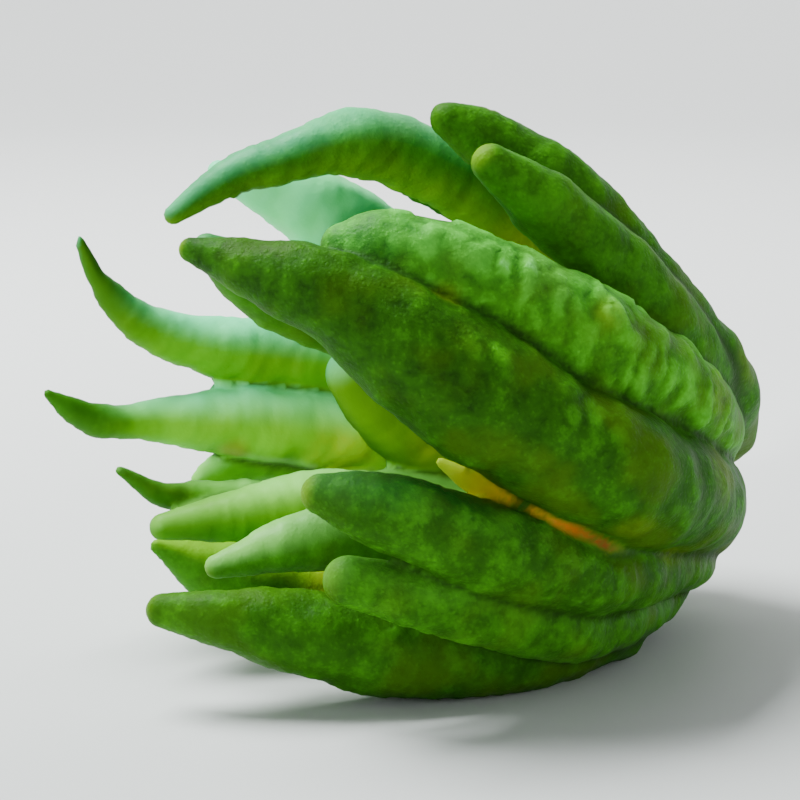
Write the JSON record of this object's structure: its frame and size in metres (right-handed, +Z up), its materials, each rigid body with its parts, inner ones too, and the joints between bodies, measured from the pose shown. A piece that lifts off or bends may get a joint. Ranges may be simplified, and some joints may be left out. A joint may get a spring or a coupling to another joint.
{
  "type": "buddhas hand citron fruit",
  "caption": "Green Buddha's hand citron lying on its side: tapering fingers fan out of one ridged heel, with its clipped stem.",
  "frame": {"origin": "middle of the fruit's footprint, on the surface it rests on", "axes": "+X from the finger tips to the heel, along the longest extent; +Y to the far side; +Z up"},
  "size_m": [0.1561, 0.1261, 0.1182],
  "materials": {
    "rind": "waxy, bumpy green citrus rind, yellow at the finger tips",
    "bark": "dull green-brown clipped stem"
  },
  "bodies": {
    "root": {"fruit": "rind", "stem": "bark"}
  },
  "joints": []
}
